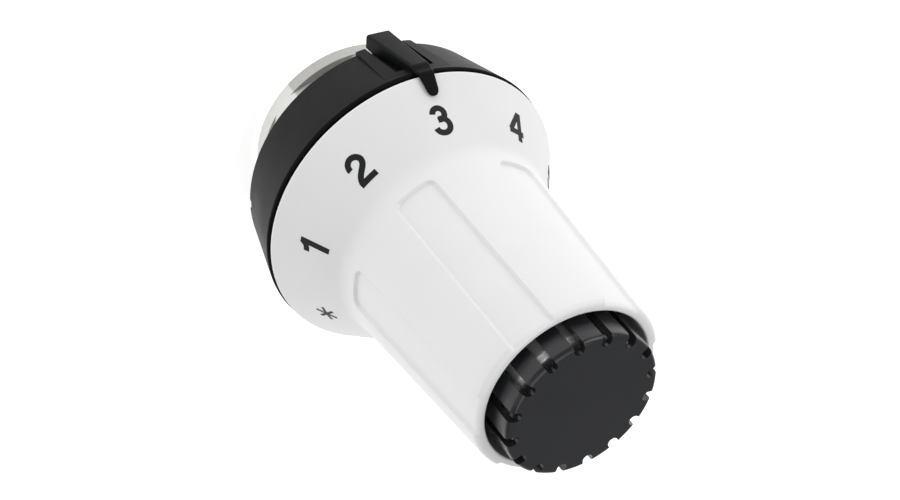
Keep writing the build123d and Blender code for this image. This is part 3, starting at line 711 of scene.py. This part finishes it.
# %% Cut and soften the cap
set_inputs(cap, slot_tree, cutter=cutter, slots=16, material=cap_black)
soften = cap.modifiers.new("soft_edges", "BEVEL")
soften.width = 0.16 * mm
soften.segments = 2
soften.limit_method = "ANGLE"
soften.angle_limit = math.radians(40)
soften.use_clamp_overlap = True
even = cap.modifiers.new("even_shading", "WEIGHTED_NORMAL")
even.weight = 90
finished(cap)
bpy.data.objects.remove(cutter)
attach(cap, "dial")
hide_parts("end_cap")
print("cap faces:", len(cap.data.polygons))

# %% [markdown]
# ## Union nut
# The nut is turned from a casting: a round collar behind, six flats before it, and an M30 x 1.5 thread
# inside. Its skin is one grid of rows along the section and columns round the axis. Each column knows
# how far the flats cut in at its angle, and the thread's rows shift with the angle to make a helix.

# %% Nut skin by rule
nut_r = nut_high.x
corner_rise = 1.2 * mm
flat_r = nut_r - corner_rise
nut_edge = 0.4 * mm
collar_t = 2.8 * mm
pitch = 1.5 * mm
nut_top = nut_high.z
flat_turn = math.radians(-67)
soft = 0.35 * mm


def nut_outside(angle, z):
    """Outer radius: the turned blank, cut back by the flats above the collar."""
    blank = min(nut_r, nut_r - nut_edge + z, flat_r + (nut_top - z))
    if z <= collar_t:
        return blank
    local = (angle - flat_turn + math.pi / 6) % (math.pi / 3) - math.pi / 6
    flat = flat_r / math.cos(local)
    near = max(soft - abs(flat - blank), 0.0)
    return min(flat, blank) - near * near / (4 * soft)


def thread_depth(angle, z):
    """0 at the crest, 1 at the root of a 60 degree thread of 1.5 mm pitch."""
    phase = (z / pitch - angle / math.tau) % 1.0
    return min(max(1.15 - abs(phase - 0.5) * 2.75, 0.0), 1.0)


def nut_rows():
    """Rows of the section: (function of angle giving radius, height)."""
    rows = []
    outside_z = [0.0, 0.13, 0.27, 0.4, 0.8, 1.4, 2.0, 2.5, 2.79, 2.81, 3.1, 3.6]
    outside_z += [4.2 + 0.6 * k for k in range(13)] + [11.6, 11.8, 12.1, 12.4, 12.6, nut_top / mm]
    for z in outside_z:
        rows.append((lambda a, z=z * mm: nut_outside(a, z), z * mm))
    rows += [(lambda a, r=r * mm: r, z * mm) for r, z in (
        (15.2, 12.8), (14.0, 12.8), (13.15, 12.8), (12.948, 12.6), (12.948, 12.0), (12.948, 11.3),
        (13.1, 11.1), (14.0, 11.1), (14.55, 11.1), (14.688, 10.95), (14.688, 9.6), (14.688, 8.75),
        (14.5, 8.6),
    )]
    wall_r, depth = 14.188 * mm, 0.78 * mm
    for k in range(83):
        z = (8.5 - 8.3 * k / 82) * mm
        fade = min(1.0, (z + 0.2 * mm) / (1.2 * mm), (8.9 * mm - z) / (0.9 * mm))
        rows.append((lambda a, z=z, f=fade: wall_r + depth * f * thread_depth(a, z), z))
    rows += [(lambda a, r=r * mm: r, z * mm) for r, z in ((14.5, 0.1), (14.75, 0.0), (15.6, 0.0))]
    return rows


around = 480
verts = []
rows = nut_rows()
for radius_at, z in rows:
    for k in range(around):
        angle = math.tau * k / around
        verts.append((radius_at(angle) * math.cos(angle), radius_at(angle) * math.sin(angle), z))
faces = []
for i in range(len(rows)):
    a, b = i * around, (i + 1) % len(rows) * around
    faces += [[a + k, a + (k + 1) % around, b + (k + 1) % around, b + k] for k in range(around)]
nut = outward(new_mesh_object("union_nut_skin", verts, faces))
nut.data.set_sharp_from_angle(angle=math.radians(38))
nut.data.materials.append(nickel)
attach(nut, "nut")
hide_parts("union_nut")
print("nut faces:", len(nut.data.polygons))

# %% [markdown]
# ## Index pointer
# The pointer is a bar whose cross-section changes along the axis: a raised block over the ring, then a
# nose that dips over the dial's rim. Each station is a rectangle with rounded corners.

# %% Loft of rounded rectangles
def rounded_box_outline(half, low, high, soft_top, soft_low, steps=5):
    """Points (across, height) of a rectangle with two roundings."""
    soft_top = min(soft_top, half * 0.95, (high - low) * 0.48)
    soft_low = min(soft_low, half * 0.95, (high - low) * 0.48)
    corners = ((half, high, soft_top, 0), (-half, high, soft_top, 90), (-half, low, soft_low, 180),
               (half, low, soft_low, 270))
    points = []
    for x, y, size, first in corners:
        cx = x - math.copysign(size, x)
        cy = y - size if y == high else y + size
        for k in range(steps + 1):
            angle = math.radians(first + 90 * k / steps)
            points.append((cx + size * math.cos(angle), cy + size * math.sin(angle)))
    return points


def loft(name, stations, place):
    """A closed skin over stations (along, half width, low, high, top rounding, low rounding)."""
    verts, faces = [], []
    for along, half, low, high, soft_top, soft_low in stations:
        verts += [place(x, y, along) for x, y in rounded_box_outline(half, low, high, soft_top, soft_low)]
    count = len(verts) // len(stations)
    for i in range(len(stations) - 1):
        a, b = i * count, (i + 1) * count
        faces += [[a + k, a + (k + 1) % count, b + (k + 1) % count, b + k] for k in range(count)]
    faces.append(list(range(count)))
    faces.append(list(range(len(verts) - count, len(verts)))[::-1])
    return outward(new_mesh_object(name, verts, faces))


ring_rear_z, ring_front_z = ring_low.z / mm, ring_high.z / mm
ring_flare = 2.8
ring_rear_r = ring_front_r / mm - ring_flare


def ring_r(z):
    """Radius of the ring's cone, in mm."""
    return ring_rear_r + ring_flare * (z - ring_rear_z) / (ring_front_z - ring_rear_z)


def between(table, z):
    """Value at z in a table of (z, value) pairs, in straight runs."""
    for (z0, v0), (z1, v1) in zip(table, table[1:]):
        if z <= z1:
            return v0 + (v1 - v0) * (z - z0) / (z1 - z0)
    return table[-1][1]


def skirt_at(z):
    """Radius of the dial's skirt, in mm, over its 11.4 mm run."""
    return rim_r / mm + (waist_r - rim_r) / mm * (z - rim_z / mm - 0.5) / 11.4


rear, nose = ring_rear_z - 2.2, rim_z / mm + 3.75
foot = ring_front_z - 2.4
crest = ring_front_z - 1.1
tops = [(rear, ring_rear_r + 1.5), (crest, ring_r(crest) + 1.25), (rim_z / mm + 0.5, rim_r / mm + 0.95),
        (nose, skirt_at(nose) + 1.0)]
lows = [(rear, ring_rear_r - 0.9), (ring_rear_z, ring_rear_r - 0.9), (foot, ring_r(foot) - 0.9),
        (foot + 0.01, ring_r(foot)), (ring_front_z, ring_front_r / mm), (rim_z / mm + 0.5, rim_r / mm + 0.4),
        (nose, skirt_at(nose) + 0.4)]
halves = [(rear, 2.15), (foot, 1.6), (ring_front_z, 1.52), (nose - 1.0, 1.0)]


def pointer_station(z):
    """One station of the pointer, drawn in at both ends."""
    half = between(halves, z)
    if z > nose - 1.0:
        half = math.sqrt(max(1.0 - (z - nose + 1.0) ** 2, 0.0016))
    top, low = between(tops, z), between(lows, z)
    inset = 0.0
    if z < rear + 0.35:
        inset = 0.35 - math.sqrt(max(0.35 ** 2 - (rear + 0.35 - z) ** 2, 0.0))
    if z > nose - 0.25:
        inset = 0.25 - math.sqrt(max(0.25 ** 2 - (z - nose + 0.25) ** 2, 0.0))
    crest_dip = 0.12 * math.exp(-((z - crest - 1.3) / 0.6) ** 2)
    soft_top = 0.42 if z < crest else 0.34
    return (z * mm, (half - inset * 0.8) * mm, (low + inset) * mm, (top - inset - crest_dip) * mm,
            soft_top * mm, 0.12 * mm)


zs = [rear + 0.35 * (1 - math.cos(math.radians(15 * k))) for k in range(7)]
zs += [rear + 0.6 + (foot - rear - 0.8) * k / 24 for k in range(25)] + [foot - 0.02, foot + 0.03]
zs += [foot + 0.2 + (nose - 0.45 - foot) * k / 34 for k in range(35)]
zs += [nose - 0.2 * (1 - math.sin(math.radians(15 * k))) for k in range(1, 7)]
stations = [pointer_station(z) for z in zs]
pointer = loft("index_pointer_skin", stations, lambda x, y, z: (x, -y, z))
pointer.data.set_sharp_from_angle(angle=math.radians(50))
pointer.data.materials.append(black)
leg = loft("index_pointer_leg", [
    (z * mm, 1.2 * mm, 22.1 * mm, 24.6 * mm, 0.1 * mm, 0.1 * mm) for z in (15.6, 15.7, 17.1, 18.5, 18.6)
], lambda x, y, z: (x, -y, z))
leg.data.materials.append(black)
for piece in (pointer, leg):
    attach(piece, "base")
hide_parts("index_pointer")
print("pointer faces:", len(pointer.data.polygons))

# %% [markdown]
# ## Floor, light and camera
# A pale floor that glows a little keeps the background white, and large soft lights give plastic its
# long, quiet reflections. The main light comes from the pointer's side, above the viewer's right hand.

# %% Floor
floor_mesh = bpy.data.meshes.new("floor")
floor_mesh.from_pydata([(-3, -3, 0), (3, -3, 0), (3, 3, 0), (-3, 3, 0)], [], [(0, 1, 2, 3)])
floor = bpy.data.objects.new("floor", floor_mesh)
bpy.context.collection.objects.link(floor)
floor.location.z = -0.0003
floor_paint = bpy.data.materials.new("floor_paint")
floor_paint.use_nodes = True
floor_shader = floor_paint.node_tree.nodes["Principled BSDF"]
floor_shader.inputs["Base Color"].default_value = (0.9, 0.9, 0.9, 1)
floor_shader.inputs["Roughness"].default_value = 0.9
floor_shader.inputs["Emission Color"].default_value = (1, 1, 1, 1)
floor_shader.inputs["Emission Strength"].default_value = 0.64
floor_mesh.materials.append(floor_paint)

# %% Lights
def soft_light(name, place, target, size, power):
    """A square area light that looks at a point."""
    lamp = bpy.data.lights.new(name, "AREA")
    lamp.size = size
    lamp.energy = power
    made = bpy.data.objects.new(name, lamp)
    bpy.context.collection.objects.link(made)
    made.location = place
    made.rotation_euler = (Vector(target) - Vector(place)).to_track_quat("-Z", "Y").to_euler()
    return made


middle = (0, 0, 0.04)
soft_light("main_light", (-0.42, -0.50, 0.52), middle, 0.50, 2.1)
soft_light("side_light", (0.55, -0.10, 0.35), middle, 0.50, 0.35)
soft_light("top_light", (0.05, 0.05, 0.70), middle, 0.60, 1.5)
world = bpy.data.worlds.new("studio")
bpy.context.scene.world = world
world.use_nodes = True
world.node_tree.nodes["Background"].inputs[0].default_value = (1, 1, 1, 1)
world.node_tree.nodes["Background"].inputs[1].default_value = 0.385

# %% Camera
camera_data = bpy.data.cameras.new("camera")
camera_data.lens = 72
camera_data.sensor_width = 36
camera = bpy.data.objects.new("camera", camera_data)
bpy.context.collection.objects.link(camera)
right = Vector((-0.8724, -0.0730, 0.4833))
up = Vector((-0.2476, -0.7866, -0.5657))
back = right.cross(up).normalized()
turned_axes = Matrix((right, back.cross(right).normalized(), back)).transposed()
camera.matrix_world = Matrix.Translation((0.1219, -0.1774, 0.2305)) @ turned_axes.to_4x4()
bpy.context.scene.camera = camera
bpy.context.scene.view_settings.view_transform = "Standard"
